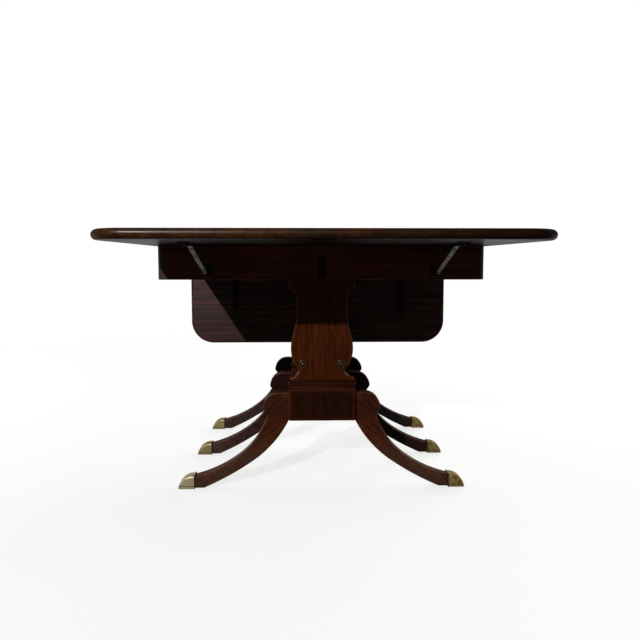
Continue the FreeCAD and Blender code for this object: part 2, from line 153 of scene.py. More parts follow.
def softenArrises(piece, width, steps, material=-1):
    pickOnly(piece)
    if width:
        arris = piece.modifiers.new("arris", "BEVEL")
        arris.width = width * mm
        arris.segments = steps
        arris.limit_method = "ANGLE"
        arris.angle_limit = math.radians(meshLook["arris"])
        arris.use_clamp_overlap = False
        arris.loop_slide = False
        arris.miter_outer = "MITER_ARC"
        arris.material = material
        bpy.ops.object.modifier_apply(modifier=arris.name)
    bpy.ops.object.shade_smooth_by_angle(angle=math.radians(meshLook["smooth"]))
    even = piece.modifiers.new("even", "WEIGHTED_NORMAL")
    even.keep_sharp = True
    bpy.ops.object.modifier_apply(modifier=even.name)


def carve(piece, cutter):
    pickOnly(piece)
    cut = piece.modifiers.new("cut", "BOOLEAN")
    cut.operation = "DIFFERENCE"
    cut.solver = "EXACT"
    cut.object = cutter
    cut.material_mode = "TRANSFER"
    bpy.ops.object.modifier_apply(modifier=cut.name)
    bpy.data.objects.remove(cutter)


def turnDisc(name, profile, rounds):
    # profile runs from the rim of the back face towards the middle of the front: radius and height
    bpy.ops.object.select_all(action="DESELECT")
    bpy.ops.mesh.primitive_circle_add(vertices=rounds, radius=profile[0][0] * mm, fill_type="NGON")
    piece = bpy.context.object
    piece.name = name
    editAll()
    for (r0, h0), (r1, h1) in zip(profile, profile[1:]):
        bpy.ops.mesh.extrude_region_move(TRANSFORM_OT_translate={"value": (0, 0, (h1 - h0) * mm)})
        bpy.ops.transform.resize(value=(r1 / r0, r1 / r0, 1), center_override=(0, 0, h1 * mm))
    bpy.ops.mesh.select_all(action="SELECT")
    bpy.ops.mesh.normals_make_consistent(inside=False)
    bpy.ops.object.mode_set(mode="OBJECT")
    bpy.ops.object.shade_smooth_by_angle(angle=math.radians(meshLook["turned"]))
    return piece


def copiesAt(master, name, places):
    # one object of several copies, each turned from +Z to its own direction
    made = []
    for point, direction, turn in places:
        twin = master.copy()
        twin.data = master.data.copy()
        bpy.context.scene.collection.objects.link(twin)
        facing = Vector(direction).to_track_quat("Z", "Y").to_matrix().to_4x4()
        spin = Matrix.Rotation(math.radians(turn), 4, "Z")
        twin.data.transform(Matrix.Translation(Vector(point) * mm) @ facing @ spin)
        made.append(twin)
    pickOnly(made[0])
    for twin in made:
        twin.select_set(True)
    bpy.ops.object.join()
    made[0].name = name
    return made[0]


def seat(piece, body, slot, *replaced):
    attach(piece, body)
    if replaced:
        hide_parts(*replaced)


# Camera at the photograph's viewpoint, just under the top's edge
cameraLook = {"place": (-0.0382, -1.69165, 0.67951), "pitch": 0.0593, "yaw": -0.0203,        # m, radians
              "sensor": 36, "lens": 27.278, "shift": (0.00183, -0.04718)}
cameraData = bpy.data.cameras.new("camera")
cameraData.sensor_width = cameraLook["sensor"]
cameraData.lens = cameraLook["lens"]
cameraData.shift_x, cameraData.shift_y = cameraLook["shift"]
camera = bpy.data.objects.new("camera", cameraData)
camera.location = cameraLook["place"]
camera.rotation_euler = (math.pi / 2 - cameraLook["pitch"], 0, cameraLook["yaw"])
bpy.context.scene.collection.objects.link(camera)
bpy.context.scene.camera = camera
print("camera set")

# Old wood, most of it mahogany under shellac: long ribbon streaks, open pores, and a film that has gone
# uneven, so the gloss comes and goes over the board
woodLook = {
    "streaks": {"Scale": 1.0, "Detail": 4.0, "Roughness": 0.6, "Distortion": 0.5},
    "tones": (0.28, 0.5, 0.74),
    "patches": {"Scale": 1 / (130 * mm), "Detail": 3.0, "Roughness": 0.55},        # about a hand across
    "patchRange": {"From Min": 0.3, "From Max": 0.7},
    "duller": 0.08, "glossier": 0.04,
    "spots": {"Scale": 1 / (22 * mm), "Detail": 5.0, "Roughness": 0.65},        # about a thumb across
    "spotRange": {"From Min": 0.35, "From Max": 0.65, "To Min": 0.35, "To Max": 1.45},
    "poreSize": (16, 1.1),        # real pores are 3 mm long and 0.2 mm wide; drawn coarser so that they show
    "poreNoise": {"Scale": 1.0, "Detail": 1.0, "Roughness": 0.5},
    "poreRange": {"From Min": 0.56, "From Max": 0.72},
    "poreDepth": -0.7, "relief": 0.3, "ior": 1.5, "coatRough": 0.14,
}
smoothStep = {"interpolation_type": "SMOOTHSTEP"}
colourMix = {"data_type": "RGBA"}        # its sockets 6 and 7 are the colours, 0 the share of the second one


def grainNoise(tree, point, size, noise):
    # noise drawn out along the grain, by the length and width of a mark
    along, across = size
    drawn = addNode(tree, "ShaderNodeVectorMath", {"operation": "MULTIPLY"}, {
        1: (1 / (along * mm), 1 / (across * mm), 1 / (across * mm))}, {0: point})
    marks = addNode(tree, "ShaderNodeTexNoise", inputs=noise, links={"Vector": drawn.outputs[0]})
    return marks.outputs["Fac"]


def wornAndLitGround(tree, look, place, turned, ground):
    # a paler tone towards one end or both, along one axis and in uneven spots: scuffs on the legs, painted light
    # on the leaf's edge, a painted reflection at the apron's ends
    axis, low, high, tone, share = look["wornAndLitZone"]
    distance = addNode(tree, "ShaderNodeSeparateXYZ", links={0: place}).outputs[axis]
    if look.get("bothEnds"):
        distance = addNode(tree, "ShaderNodeMath", {"operation": "ABSOLUTE"}, links={0: distance}).outputs[0]
    zone = addNode(tree, "ShaderNodeMapRange", smoothStep, {
        "From Min": low * mm, "From Max": high * mm, "To Min": share, "To Max": 0.0}, {"Value": distance})
    spots = addNode(tree, "ShaderNodeTexNoise", inputs=woodLook["spots"], links={"Vector": turned})
    patchy = addNode(tree, "ShaderNodeMapRange", inputs=woodLook["spotRange"],
                     links={"Value": spots.outputs["Fac"]})
    amount = addNode(tree, "ShaderNodeMath", {"operation": "MULTIPLY", "use_clamp": True},
                     links={0: zone.outputs["Result"], 1: patchy.outputs["Result"]})
    return addNode(tree, "ShaderNodeMix", colourMix, {7: toLinear(tone)},
                   {0: amount.outputs[0], 6: ground}).outputs[2]


def oldWood(name, look):
    wood = bpy.data.materials.new(name)
    wood.use_nodes = True
    tree = wood.node_tree
    shader = tree.nodes["Principled BSDF"]
    place = addNode(tree, "ShaderNodeTexCoord").outputs["Object"]
    point = place
    if look.get("splayed"):        # both legs of a pair have the grain running down and out
        split = addNode(tree, "ShaderNodeSeparateXYZ", links={0: place})
        outward = addNode(tree, "ShaderNodeMath", {"operation": "ABSOLUTE"}, links={0: split.outputs["X"]})
        point = addNode(tree, "ShaderNodeCombineXYZ", links={
            "X": outward.outputs[0], "Y": split.outputs["Y"], "Z": split.outputs["Z"]}).outputs[0]
    turned = addNode(tree, "ShaderNodeMapping", inputs={
        "Rotation": [math.radians(a) for a in look["grain"]], "Location": look["offset"]},
        links={"Vector": point}).outputs[0]
    figure = grainNoise(tree, turned, look["streak"], woodLook["streaks"])
    tones = [look["deep"], look["body"], look["pale"]]
    ground = addNode(tree, "ShaderNodeValToRGB", links={"Fac": figure},
                     stops=list(zip(woodLook["tones"], tones))).outputs["Color"]
    # broad patches where the polish has darkened
    patina = addNode(tree, "ShaderNodeTexNoise", inputs=woodLook["patches"], links={"Vector": turned})
    shade = addNode(tree, "ShaderNodeMapRange", inputs={
        **woodLook["patchRange"], "To Min": look["patina"], "To Max": 1.0},
        links={"Value": patina.outputs["Fac"]})
    # wear, and on some woods painted light or a painted reflection, towards one end
    if "wornAndLitZone" in look:
        ground = wornAndLitGround(tree, look, place, turned, ground)
    poreNoise = grainNoise(tree, turned, woodLook["poreSize"], woodLook["poreNoise"])
    pores = addNode(tree, "ShaderNodeMapRange", smoothStep, woodLook["poreRange"], {"Value": poreNoise})
    poreShare = addNode(tree, "ShaderNodeMath", {"operation": "MULTIPLY"}, {1: look["pores"]},
                        {0: pores.outputs["Result"]})
    porous = addNode(tree, "ShaderNodeMix", colourMix, {7: toLinear(look["deep"])},
                     {0: poreShare.outputs[0], 6: ground})
    aged = addNode(tree, "ShaderNodeMix", {**colourMix, "blend_type": "MULTIPLY"}, {0: 1.0},
                   {6: porous.outputs[2], 7: shade.outputs["Result"]})
    gloss = addNode(tree, "ShaderNodeMapRange", inputs={
        **woodLook["patchRange"], "To Min": look["rough"] + woodLook["duller"],
        "To Max": look["rough"] - woodLook["glossier"]}, links={"Value": patina.outputs["Fac"]})
    relief = addNode(tree, "ShaderNodeMath", {"operation": "MULTIPLY_ADD"}, {1: woodLook["poreDepth"]},
                     {0: pores.outputs["Result"], 2: figure})
    bump = addNode(tree, "ShaderNodeBump", inputs={
        "Strength": look["bump"], "Distance": woodLook["relief"] * mm}, links={"Height": relief.outputs[0]})
    tree.links.new(aged.outputs[2], shader.inputs["Base Color"])
    tree.links.new(gloss.outputs["Result"], shader.inputs["Roughness"])
    tree.links.new(bump.outputs["Normal"], shader.inputs["Normal"])
    shader.inputs["IOR"].default_value = woodLook["ior"]
    shader.inputs["Specular IOR Level"].default_value = look["sheen"]
    shader.inputs["Coat Weight"].default_value = look["coat"]
    shader.inputs["Coat Roughness"].default_value = woodLook["coatRough"]
    return wood


# For each wood: its three tones, then the figure (streak, and the zone of wear and painted light, in mm), then the
# polish
apronEnd = boxOf("near_apron")[1].x
alongX, alongY, upright, downLeg = (0, 0, 0), (0, 0, 90), (0, 90, 0), (0, -41, 0)
woods = {
    "topMahogany": {        # deep brown with long quiet streaks, polish gone half dull
        "deep": "#1e0c06", "body": "#3d1b0e", "pale": "#552a15",
        "grain": alongX, "offset": (0.4, 0.1, 0), "streak": (340, 8), "pores": 0.55, "patina": 0.7,
        "rough": 0.42, "sheen": 0.28, "coat": 0.0, "bump": 0.1},
    "edgeMahogany": {        # nearly black moulding with a fine grain, and painted light: paler tan towards the left
        "deep": "#120602", "body": "#200c04", "pale": "#2f1508",
        "grain": alongX, "offset": (0.4, 0.1, 0), "streak": (120, 4), "pores": 0.75, "patina": 0.6,
        "rough": 0.33, "sheen": 0.2, "coat": 0.02, "bump": 0.22,
        # painted light: the moulding is paler on the lamp's side, to the left
        "wornAndLitZone": ("X", -350, 540, "#563619", 0.6)},
    "leafMahogany": {        # strong red-brown streaks on the dull underside of the hanging leaf
        "deep": "#110504", "body": "#391812", "pale": "#683625",
        "grain": alongX, "offset": (0, 0, 0.3), "streak": (300, 9), "pores": 0.5, "patina": 0.72,
        "rough": 0.44, "sheen": 0.5, "coat": 0.0, "bump": 0.12},
    "apronMahogany": {        # warm red board, with a painted reflection in grey at both ends
        "deep": "#320f0b", "body": "#561f17", "pale": "#6c2d20",
        "grain": alongX, "offset": (0, 0, 0.7), "streak": (260, 8), "pores": 0.5, "patina": 0.68,
        "rough": 0.36, "sheen": 0.3, "coat": 0.0, "bump": 0.1,
        # painted reflection: grey at both ends, where the polish reflects the room
        "wornAndLitZone": ("X", apronEnd - 18, apronEnd - 34, "#363638", 0.95), "bothEnds": True},
    "railMahogany": {        # the apron's red, a little darker, with the grain running back
        "deep": "#2c0f0a", "body": "#4c1d14", "pale": "#602a1c",
        "grain": alongY, "offset": (0, 0, 0.7), "streak": (200, 8), "pores": 0.5, "patina": 0.68,
        "rough": 0.36, "sheen": 0.3, "coat": 0.0, "bump": 0.1},
    "leafPolish": {        # the raised leaf's underside: dark, with a soft mirror in it
        "deep": "#1e0c09", "body": "#3c1a13", "pale": "#54291b",
        "grain": alongX, "offset": (0, 0, 0.3), "streak": (300, 9), "pores": 0.5, "patina": 0.72,
        "rough": 0.28, "sheen": 0.55, "coat": 0.0, "bump": 0.1},
    "pedestalMahogany": {        # golden brown with a short upright figure
        "deep": "#260d03", "body": "#451c05", "pale": "#62300e",
        "grain": upright, "offset": (0, 0, 0), "streak": (70, 2.4), "pores": 0.6, "patina": 0.8,
        "rough": 0.24, "sheen": 0.2, "coat": 0.05, "bump": 0.1},
    "plinthMahogany": {        # plain mid brown of the border and the moulding
        "deep": "#260d05", "body": "#38170a", "pale": "#48210e",
        "grain": alongX, "offset": (0, 0, 0.2), "streak": (110, 5), "pores": 0.5, "patina": 0.75,
        "rough": 0.24, "sheen": 0.2, "coat": 0.05, "bump": 0.1},
    "plinthVeneer": {        # darker panel, so that the border shows
        "deep": "#1b0a05", "body": "#2b1308", "pale": "#381b0c",
        "grain": upright, "offset": (0.1, 0, 0), "streak": (200, 4), "pores": 0.5, "patina": 0.62,
        "rough": 0.24, "sheen": 0.2, "coat": 0.05, "bump": 0.08},
    "legMahogany": {        # near legs: lively brown, scuffed pale towards the foot
        "deep": "#301208", "body": "#4c2210", "pale": "#66341a",
        "grain": downLeg, "offset": (0, 0, 0), "streak": (90, 7), "pores": 0.6, "patina": 0.6,
        "rough": 0.27, "sheen": 0.3, "coat": 0.08, "bump": 0.1,
        "splayed": True, "wornAndLitZone": ("Z", 60, 190, "#5a4437", 0.55)},
    "shadedLeftLegMahogany": {        # left legs of the pedestals behind: darker as painted shade, scuffed at the foot too
        "deep": "#1e0d09", "body": "#2a1310", "pale": "#371b15",
        "grain": downLeg, "offset": (0, 0, 0), "streak": (200, 9), "pores": 0.45, "patina": 0.7,
        "rough": 0.27, "sheen": 0.3, "coat": 0.08, "bump": 0.1,
        "splayed": True, "wornAndLitZone": ("Z", 50, 180, "#533b34", 0.7)},
    "shadedRightLegMahogany": {        # right legs of the pedestals behind: the darkest, painted shade, evenly polished
        "deep": "#1a0a07", "body": "#29120d", "pale": "#351911",
        "grain": downLeg, "offset": (0, 0, 0), "streak": (200, 9), "pores": 0.45, "patina": 0.7,
        "rough": 0.27, "sheen": 0.3, "coat": 0.08, "bump": 0.1, "splayed": True},
    "arrisWearAndHighlight": {        # paler line on an edge: wear where hands and feet have rubbed it, and a painted highlight
        "deep": "#38170a", "body": "#562a15", "pale": "#6e3b20",
        "grain": alongX, "offset": (0, 0.2, 0), "streak": (60, 9), "pores": 0.3, "patina": 0.7,
        "rough": 0.38, "sheen": 0.3, "coat": 0.0, "bump": 0.05},
    "rosetteMahogany": {        # greyish brown turning that glints under a clear coat
        "deep": "#2c1a10", "body": "#4a3224", "pale": "#6a5141",
        "grain": upright, "offset": (0, 0, 0), "streak": (40, 3), "pores": 0.4, "patina": 0.6,
        "rough": 0.22, "sheen": 0.6, "coat": 0.4, "bump": 0.05},
    "frameOak": {        # bare tan timber of the slides, open-grained and dull
        "deep": "#3b2a18", "body": "#5d4429", "pale": "#745937",
        "grain": alongY, "offset": (0, 0, 0), "streak": (180, 6), "pores": 0.7, "patina": 0.6,
        "rough": 0.62, "sheen": 0.3, "coat": 0.0, "bump": 0.3},
    "crossOak": {        # the same bare timber laid across
        "deep": "#3b2a18", "body": "#5a4127", "pale": "#705434",
        "grain": alongX, "offset": (0, 0, 0), "streak": (180, 6), "pores": 0.7, "patina": 0.6,
        "rough": 0.62, "sheen": 0.3, "coat": 0.0, "bump": 0.3},
    "slotShadeAndSeamDirt": {        # dark brown: painted shade in the apron's slot, dirt in the seams
        "deep": "#1c0d08", "body": "#381b12", "pale": "#482518",
        "grain": upright, "offset": (0, 0, 0), "streak": (40, 4), "pores": 0.4, "patina": 0.7,
        "rough": 0.5, "sheen": 0.2, "coat": 0.0, "bump": 0.1},
    "cleatMahogany": {        # plain brown offcuts without much polish
        "deep": "#2a1008", "body": "#4a2013", "pale": "#62301c",
        "grain": alongX, "offset": (0, 0, 0), "streak": (80, 5), "pores": 0.4, "patina": 0.7,
        "rough": 0.4, "sheen": 0.3, "coat": 0.0, "bump": 0.15},
}
# the boards of the top are cut from one tree, so only the run of the grain and the tone differ a little
woods["farTopMahogany"] = {**woods["topMahogany"], "offset": (1.7, 0.63, 0), "body": "#39190d"}
woods["leafTopMahogany"] = {**woods["topMahogany"], "offset": (-0.9, 0.37, 0.2), "body": "#43200f"}
finish = {name: oldWood(name, look) for name, look in woods.items()}

# Old metal: cloudy stains, a fine grit that breaks up the gloss, dirt in a scored line and painted shade at a rim
metalLook = {
    "clouds": {"Detail": 5.0, "Roughness": 0.62}, "tones": (0.3, 0.47, 0.7),
    "cloudRange": {"From Min": 0.3, "From Max": 0.7}, "duller": 0.15,
    "grit": {"Scale": 1 / (1.2 * mm), "Detail": 2.0, "Roughness": 0.5},        # drawn coarse, to show
    "relief": 0.2,
    "dirtAndShadeRange": {"From Min": 0.4 * mm, "From Max": 1.7 * mm, "To Min": 0.75, "To Max": 0.0},
    "dirtAndShadeMarks": {"line": "Z", "rim": "X"},        # a dirty line above the sole of a toe cap, and painted shade at the rim round its ankle
}


def oldMetal(name, look):
    metal = bpy.data.materials.new(name)
    metal.use_nodes = True
    tree = metal.node_tree
    shader = tree.nodes["Principled BSDF"]
    place = addNode(tree, "ShaderNodeTexCoord").outputs["Object"]
    cloud = addNode(tree, "ShaderNodeTexNoise", inputs={
        **metalLook["clouds"], "Scale": 1 / (look["patch"] * mm)}, links={"Vector": place})
    tones = [look["stain"], look["body"], look["bright"]]
    colour = addNode(tree, "ShaderNodeValToRGB", links={"Fac": cloud.outputs["Fac"]},
                     stops=list(zip(metalLook["tones"], tones))).outputs["Color"]
    grit = addNode(tree, "ShaderNodeTexNoise", inputs=metalLook["grit"], links={"Vector": place})
    gloss = addNode(tree, "ShaderNodeMapRange", inputs={
        **metalLook["cloudRange"], "To Min": look["rough"] + metalLook["duller"], "To Max": look["rough"]},
        links={"Value": cloud.outputs["Fac"]})
    bump = addNode(tree, "ShaderNodeBump", inputs={
        "Strength": look["bump"], "Distance": metalLook["relief"] * mm},
        links={"Height": grit.outputs["Fac"]})
    if "rubbedAndHighlit" in look:        # painted highlight: paler towards one side of the table
        low, high, tone, share = look["rubbedAndHighlit"]
        split = addNode(tree, "ShaderNodeSeparateXYZ", links={0: place})
        zone = addNode(tree, "ShaderNodeMapRange", smoothStep, {
            "From Min": low * mm, "From Max": high * mm, "To Min": share, "To Max": 0.0},
            {"Value": split.outputs["X"]})
        colour = addNode(tree, "ShaderNodeMix", colourMix, {7: toLinear(tone)},
                         {0: zone.outputs["Result"], 6: colour}).outputs[2]
    # dark marks on a cap: dirt in the scored line, painted shade at the ankle's rim
    for mark, axis in metalLook["dirtAndShadeMarks"].items():
        if mark not in look:
            continue
        split = addNode(tree, "ShaderNodeSeparateXYZ", links={0: place})
        off = addNode(tree, "ShaderNodeMath", {"operation": "ABSOLUTE"}, links={0: split.outputs[axis]})
        off = addNode(tree, "ShaderNodeMath", {"operation": "SUBTRACT"}, {1: look[mark] * mm},
                      {0: off.outputs[0]})
        off = addNode(tree, "ShaderNodeMath", {"operation": "ABSOLUTE"}, links={0: off.outputs[0]})
        dirt = addNode(tree, "ShaderNodeMapRange", smoothStep, metalLook["dirtAndShadeRange"],
                       {"Value": off.outputs[0]})
        colour = addNode(tree, "ShaderNodeMix", colourMix, {7: toLinear(look["dirt"])},
                         {0: dirt.outputs["Result"], 6: colour}).outputs[2]
    tree.links.new(colour, shader.inputs["Base Color"])
    tree.links.new(gloss.outputs["Result"], shader.inputs["Roughness"])
    tree.links.new(bump.outputs["Normal"], shader.inputs["Normal"])
    shader.inputs["Metallic"].default_value = look["metallic"]
    return metal


toeLook = {"length": 50, "round": 4.5, "steps": 4, "ankle": 1, "sole": 0.5, "slack": 0.1,
           "rim": 3, "wider": 0.7, "higher": 1.0}        # the rim's length and how far it stands out
toeEnd = boxOf("near_toe_caps")[1].x
toeBack = toeEnd - toeLook["length"]
toeAnkle = toeBack + toeLook["ankle"]
metals = {
    "agedBrass": {        # dull yellow casting, dark brown in a scored line, painted shade at the ankle's rim, and a painted highlight paler on the left
        "stain": "#6b4f2c", "body": "#ae8f50", "bright": "#dccb98", "dirt": "#2e2013",
        "patch": 12, "rough": 0.36, "bump": 0.25, "metallic": 0.6,
        "line": 8.5, "rim": toeAnkle, "rubbedAndHighlit": (-toeEnd, 300, "#f2e8bc", 0.7)},
    "shadedBrass": {        # the same brass on the pedestals behind, darker as painted shade, with a weaker painted highlight
        "stain": "#5d4527", "body": "#987c43", "bright": "#c4b27c", "dirt": "#2a1d12",
        "patch": 12, "rough": 0.4, "bump": 0.25, "metallic": 0.6,
        "line": 8.5, "rim": toeAnkle, "rubbedAndHighlit": (-toeEnd, 300, "#e0d4a4", 0.3)},
    "dullSteel": {        # grey rolled steel with a brown bloom
        "stain": "#625c56", "body": "#a5a19b", "bright": "#c4c1bb",
        "patch": 14, "rough": 0.42, "bump": 0.2, "metallic": 0.6},
    "shadedSteel": {        # the folded straps: the same steel, darker as painted shade
        "stain": "#14110e", "body": "#24211e", "bright": "#38342f",
        "patch": 14, "rough": 0.46, "bump": 0.2, "metallic": 0.6},
    "blackIron": {        # wrought iron blackened with oil
        "stain": "#0a0908", "body": "#12110f", "bright": "#1f1d1a",
        "patch": 10, "rough": 0.36, "bump": 0.3, "metallic": 0.2},
    "screwSteel": {        # brownish heads with a worn shine
        "stain": "#1d1611", "body": "#3a332c", "bright": "#5d564e",
        "patch": 4, "rough": 0.4, "bump": 0.2, "metallic": 0.7},
}
finish.update({name: oldMetal(name, look) for name, look in metals.items()})
print("finishes:", ", ".join(finish))

# Boards and frame timbers: the CAD shapes with worn arrises, some of them pale with wear and a painted highlight,
# widths in mm
boards = {
    "top": ("topMahogany", 0), "leaf": ("leafMahogany", 0.6), "apron": ("apronMahogany", 1.4),
    "side_rails": ("railMahogany", 1.2), "vase": ("pedestalMahogany", 2.6),
    "plinth_block": ("plinthMahogany", 1.6), "plinth_cap": ("plinthMahogany", 0),
    "leg_left": ("legMahogany", 2.2), "leg_right": ("legMahogany", 2.2),
    "corner_blocks": ("crossOak", 2.0), "runners": ("frameOak", 1.0), "head_block": ("crossOak", 1.5),
    "slide_rail_left": ("frameOak", 1.0), "slide_rail_right": ("frameOak", 1.0),
    "cleats": ("cleatMahogany", 1.0),
}
otherWood = {
    "far_top": "farTopMahogany", "near_leaf": "leafPolish",
    # the legs behind take darker copies of the leg wood: painted shade
    "centre_leg_left": "shadedLeftLegMahogany", "far_leg_left": "shadedLeftLegMahogany",
    "centre_leg_right": "shadedRightLegMahogany", "far_leg_right": "shadedRightLegMahogany",
}
rubbedAndHighlit = ("vase", "plinth_block", "plinth_cap", "leg_left", "leg_right")
hingePlaces, slipPlaces = (-415, 0, 415), (-300, 0, 300)
# where faces with a slot, a hole or recesses in them are cut in two
holeCuts = {"apron": [("x", 0)], "vase": [("x", 0)], "plinth_cap": [("x", 0)],
            "top": [("x", x) for x in sorted({*hingePlaces, *slipPlaces})]}
seamLook = {"ease": 1.0, "steps": 2, "slack": 0.05, "straight": 0.01}
leafLook = {"under": 0.9, "flat": 0.97}        # cosines of the angle to the underside
apronSlot = {"half": 10, "depth": 8, "slack": 0.5, "largest": 1500}        # the largest face in it, in mm2
plinthPanel = {"borders": (9, 0.9), "outward": 0.99, "smallest": 10000}        # the smallest face, in mm2


def easeSeams(piece, node):
    # the long upper edges at the middle seam and at the leaf's joint are rubbed round and hold dirt
    level = boxOf(node)[1].z - seamLook["slack"]
    piece.data.materials.append(finish["slotShadeAndSeamDirt"])

    def onSeam(a, b):
        return min(a.z, b.z) / mm > level and abs(a.y - b.y) / mm < seamLook["straight"]
    roundEdges(piece, onSeam, seamLook["ease"], seamLook["steps"], material=1)


def dressLeaf(piece, node):
    # the upper face and the moulded edge have their own woods; the leaf's first one stays on the underside
    under = Vector((0, 0, -1)) if node == "near_leaf" else Vector((0, -1, 0))        # the far leaf hangs
    finishFaces(piece, finish["leafTopMahogany"], lambda face: face.normal.dot(under) < leafLook["under"])
    finishFaces(piece, finish["edgeMahogany"], lambda face: abs(face.normal.dot(under)) < leafLook["flat"])


def darkenSlot(piece, node):
    # painted shade: the slot's walls and floor are dark brown
    front = max(abs(corner.y) for corner in boxOf(node))
    slack = apronSlot["slack"]

    def inSlot(face):
        x, y, _ = (abs(c) / mm for c in face.center)
        beside = x < apronSlot["half"] + slack
        behind = slack < front - y < apronSlot["depth"] + slack
        return beside and behind and face.area < apronSlot["largest"] * mm * mm
    finishFaces(piece, finish["slotShadeAndSeamDirt"], inSlot)


def panelPlinth(piece, node):
    # darker veneer inside a cross-banded border, on the outer face of the two end blocks
    out = ends.get(node.partition("_")[0])
    if not out:
        return

    def onFront(face):
        large = face.area > plinthPanel["smallest"] * mm * mm
        return large and face.normal.y * out > plinthPanel["outward"]
    finishFaces(piece, finish["plinthVeneer"], onFront, plinthPanel["borders"])


dressing = {"top": easeSeams, "leaf": dressLeaf, "apron": darkenSlot, "plinth_block": panelPlinth}
for node in sorted(nodes):
    kind = node.partition("_")[2]
    if kind not in boards:
        continue
    wood, width = boards[kind]
    piece = copyOf(node, node + "_wood", holeCuts.get(kind, ()))
    piece.data.materials.append(finish[otherWood.get(node, wood)])
    arrisFinish = -1
    # on these kinds the arrises get a paler line: wear, and a painted highlight
    if kind in rubbedAndHighlit:
        piece.data.materials.append(finish["arrisWearAndHighlight"])
        arrisFinish = 1
    if kind in dressing:
        dressing[kind](piece, node)
    softenArrises(piece, width, meshLook["woodSteps"], arrisFinish)
    seat(piece, bodyOf[node], slotOf[node], node)
print("boards done")

# Metal parts keep their CAD shapes with a small round on each edge, widths in mm
fittings = {
    "toe_caps": ("agedBrass", 0.8), "hinge_pins": ("dullSteel", 0.2),
    "hinge_plates": ("blackIron", 0.3), "leaf_hinge_plates": ("blackIron", 0.3),
    "stay_brackets": ("blackIron", 0.5), "stay_pins": ("blackIron", 0.4), "stay_catches": ("blackIron", 0.5),
    "stay_left": ("dullSteel", 0.5), "stay_right": ("dullSteel", 0.5),
}
# the hanging leaf's straps take the darker copy of the steel: painted shade
otherMetal = {"far_stay_left": "shadedSteel", "far_stay_right": "shadedSteel",
              "centre_toe_caps": "shadedBrass", "far_toe_caps": "shadedBrass"}
stayLook = {"holes": (119, 170), "hole": 3.5, "sides": 24, "depth": 20}        # holes from the pivot


def roundToes(piece, node):
    # the long top edges of a cap are cast round
    low, high = boxOf(node)
    slack = toeLook["slack"]

    def alongTop(a, b):
        onSide = min(abs(a.y / mm - low.y), abs(a.y / mm - high.y)) < slack and abs(a.y - b.y) < slack * mm
        inFront = max(abs(a.x), abs(b.x)) > toeAnkle * mm
        return onSide and inFront and max(a.z, b.z) > toeLook["sole"] * mm
    roundEdges(piece, alongTop, toeLook["round"], toeLook["steps"])


def ankleRim(node):
    # a thin rim stands up round the ankle
    low, high = boxOf(node)
    half, middle, height = (high.y - low.y) / 2, (high.y + low.y) / 2, high.z
    rim = copyOf(node, "rim", [("y", middle)])
    for side in (-1, 1):
        editAll()
        bpy.ops.mesh.bisect(plane_co=(side * (toeBack + toeLook["rim"]) * mm, 0, 0), plane_no=(side, 0, 0),
                            use_fill=True, clear_outer=True)
        bpy.ops.object.mode_set(mode="OBJECT")
    editAll()
    bpy.ops.transform.resize(value=(1, 1 + toeLook["wider"] / half, 1 + toeLook["higher"] / height),
                             center_override=(0, middle * mm, 0))
    bpy.ops.object.mode_set(mode="OBJECT")
    return rim


def drillStay(piece, node, out):
    # two spare holes near the strap's tip, their walls black as painted shade; at rest the near stays are raised
    # to the end of their swing and the far ones hang
    swing = joints[node + "_swing"]
    x, y, z = swing["pos_m"]
    lift = math.radians((swing["range_deg"][1] if out < 0 else 0) - 90)
    for reach in stayLook["holes"]:
        bpy.ops.object.select_all(action="DESELECT")
        bpy.ops.mesh.primitive_cylinder_add(
            vertices=stayLook["sides"], radius=stayLook["hole"] * mm, depth=stayLook["depth"] * mm,
            location=(x, y + out * reach * math.cos(lift) * mm, z + reach * math.sin(lift) * mm),
            rotation=(out * lift, 0, 0))
        hole = bpy.context.object
        # painted shade: the hole's walls take the black iron
        hole.data.materials.append(finish["blackIron"])
        carve(piece, hole)


for node in sorted(nodes):
    part, _, kind = node.partition("_")
    if kind not in fittings:
        continue
    metal, width = fittings[kind]
    metal = otherMetal.get(node, metal)
    drilled = kind in ("stay_left", "stay_right")
    middle = sum(corner.x for corner in boxOf(node)) / 2
    piece = copyOf(node, node + "_metal", [("x", middle)] if drilled else ())
    piece.data.materials.append(finish[metal])
    if drilled:
        drillStay(piece, node, ends[part])
    if kind == "toe_caps":
        roundToes(piece, node)
        rim = ankleRim(node)
        rim.data.materials.append(finish[metal])
        pickOnly(piece)
        rim.select_set(True)
        bpy.ops.object.join()
    softenArrises(piece, width, meshLook["metalSteps"])
    seat(piece, bodyOf[node], slotOf[node], node)
nodes["seam_slips"].data.materials.clear()
nodes["seam_slips"].data.materials.append(finish["crossOak"])
print("fittings done")

# Slotted screw heads: four through each apron into the vase behind it, smaller ones in the ironwork;
# each slot is turned on from the one before, in degrees
screwLook = {"big": 4.8, "small": 2.8, "rounds": 28, "slot": (0.9, 1.2), "firstTurn": 23,
             "dome": ((0, 0), (0, 0.4), (0.5, 0.9), (1.6, 1.1))}        # in from the rim, height
apronScrews = {"side": 76, "fromBottom": 13, "fromTop": 16, "turn": 61}
topScrews = {"beside": 11, "y": 283, "turn": 47}        # in the hinge plates, from a hinge's middle
leafScrews = {"places": ((-12, 309), (12, 309), (0, 339)), "turn": 53}        # beside a hinge's middle, y
catchScrews = {"fromTip": (12, 44), "plate": 3, "turn": 37}
bracketScrews = {"places": ((-14.5, 16), (-17.5, 2)), "plate": 2.5, "turn": 29}        # from the pivot, x, z


